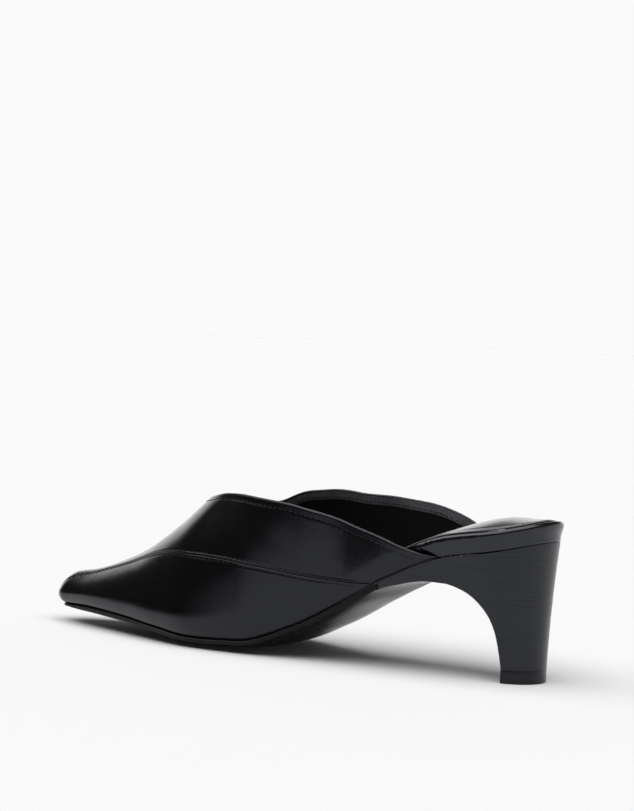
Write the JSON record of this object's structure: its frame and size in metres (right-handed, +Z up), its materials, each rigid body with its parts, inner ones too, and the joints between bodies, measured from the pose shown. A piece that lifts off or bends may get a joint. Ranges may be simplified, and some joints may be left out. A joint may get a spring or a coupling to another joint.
{
  "type": "heeled mule shoe",
  "caption": "Backless pointed leather mule for the left foot, low cut over the instep, on a slim block heel with an arched front and a padded seat.",
  "frame": {"origin": "on the ground, under the middle of the shoe's bounding box", "axes": "+X from the toe to the heel along the shoe, -Y to the outer side of the left foot, +Z up"},
  "size_m": [0.2676, 0.0788, 0.074],
  "materials": {
    "upper_leather": "glossy",
    "sole_leather": "satin",
    "rim_leather": "glossy",
    "sock_leather": "satin",
    "stacked_heel": "satin",
    "top_piece_rubber": "matte"
  },
  "bodies": {
    "root": {"upper": "upper_leather", "outsole": "sole_leather", "insole": "rim_leather", "sock": "sock_leather", "heel": "stacked_heel", "top_piece": "top_piece_rubber"}
  },
  "joints": []
}
